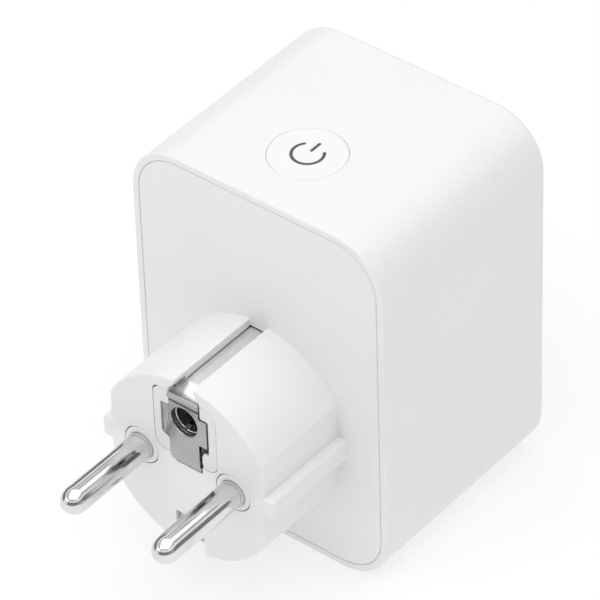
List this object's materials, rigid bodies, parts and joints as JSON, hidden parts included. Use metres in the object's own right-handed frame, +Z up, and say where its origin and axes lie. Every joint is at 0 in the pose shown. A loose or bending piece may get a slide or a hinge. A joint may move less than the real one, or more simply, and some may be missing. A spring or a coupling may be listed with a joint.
{
  "type": "smart plug",
  "caption": "Box-shaped smart mains plug with a round plug boss and pins on its front, a recessed socket well on its rear and a sprung power button on its top.",
  "frame": {"origin": "centre of the flat bottom face of the body, which the plug rests on when it is set down", "axes": "+Z up; the plug pins point along -Y; the socket well opens along +Y; +X is to the right seen from the pin side"},
  "size_m": [0.051, 0.0806, 0.07],
  "materials": {
    "white_housing": "fine satin moulded polycarbonate",
    "white_button": "satin moulded",
    "white_insert": "satin moulded nylon",
    "icon_grey": "smooth dark translucent",
    "grey_nylon": "moulded nylon",
    "black_plastic": "moulded, fine texture",
    "nickel": "bright nickel plate with fine turning marks",
    "nickel_strip": "rolled, satin nickel plate",
    "contact_bronze": "rolled strip",
    "zinc_steel": "zinc plated",
    "copper_wire": "enamelled winding",
    "board_green": "solder mask on glass laminate",
    "board_black": "solder mask on glass laminate",
    "can_sleeve": "shrink sleeve",
    "film_yellow": "moulded box",
    "varistor_blue": "dipped epoxy",
    "relay_blue": "moulded cover",
    "led_lens": "clear"
  },
  "bodies": {
    "housing": {"body_sleeve": "white_housing", "front_cover": "white_housing", "live_pin": "nickel", "neutral_pin": "nickel", "live_pin_collar": "white_insert", "neutral_pin_collar": "white_insert", "live_bar": "contact_bronze", "neutral_bar": "contact_bronze", "earth_retainer": "white_insert", "earth_strip_top": "nickel_strip", "earth_strip_bottom": "nickel_strip", "earth_sleeve": "nickel_strip", "socket_cup": "white_housing", "cup_screw_1": "zinc_steel", "cup_screw_2": "zinc_steel", "cup_screw_3": "zinc_steel", "cup_screw_4": "zinc_steel", "shutter_spring": "zinc_steel", "shutter_guide": "grey_nylon", "shutter_screw_top": "zinc_steel", "shutter_screw_bottom": "zinc_steel", "live_receptacle": "contact_bronze", "neutral_receptacle": "contact_bronze", "earth_bracket": "nickel_strip", "button_board": "board_black", "tact_switch_base": "black_plastic", "status_led_left": "led_lens", "status_led_right": "led_lens", "button_board_screw_left": "zinc_steel", "button_board_screw_right": "zinc_steel", "main_board": "board_green", "board_header": "black_plastic", "wifi_board": "board_black", "wifi_shield": "zinc_steel", "relay_cover": "relay_blue", "relay_base": "black_plastic", "relay_yoke": "zinc_steel", "relay_coil": "copper_wire", "relay_contact": "contact_bronze", "bulk_capacitor": "can_sleeve", "film_capacitor": "film_yellow", "varistor": "varistor_blue", "fuse": "led_lens", "power_inductor": "copper_wire", "rectifier": "black_plastic", "metering_chip": "black_plastic"},
    "button": {"button_cap": "white_button", "light_guide": "icon_grey"},
    "switch_plunger": {"tact_switch_plunger": "white_insert"},
    "shutter": {"shutter_rotor": "grey_nylon"},
    "armature": {"relay_armature": "zinc_steel"}
  },
  "joints": [
    {"name": "button_press", "type": "slide", "parent": "housing", "child": "button", "axis": [0, 0, -1], "range_m": [0, 0.0005], "stiffness_N_per_m": 1200, "springref_m": -0.0004},
    {"name": "plunger_press", "type": "slide", "parent": "housing", "child": "switch_plunger", "axis": [0, 0, -1], "range_m": [0, 0.0005]},
    {"name": "shutter_turn", "type": "hinge", "parent": "housing", "child": "shutter", "pos_m": [0, 0.0006, 0.0264], "axis": [0, -1, 0], "range_deg": [0, 40], "stiffness_Nm_per_rad": 0.004, "springref_deg": -20.05},
    {"name": "armature_tip", "type": "hinge", "parent": "housing", "child": "armature", "pos_m": [-0.0175, 0.0095, 0.06355], "axis": [0, 1, 0], "range_deg": [0, 2.9], "stiffness_Nm_per_rad": 0.02, "springref_deg": -5.73}
  ],
  "couplings": [
    {"joint": "plunger_press", "follows": "button_press", "ratio": 1}
  ]
}
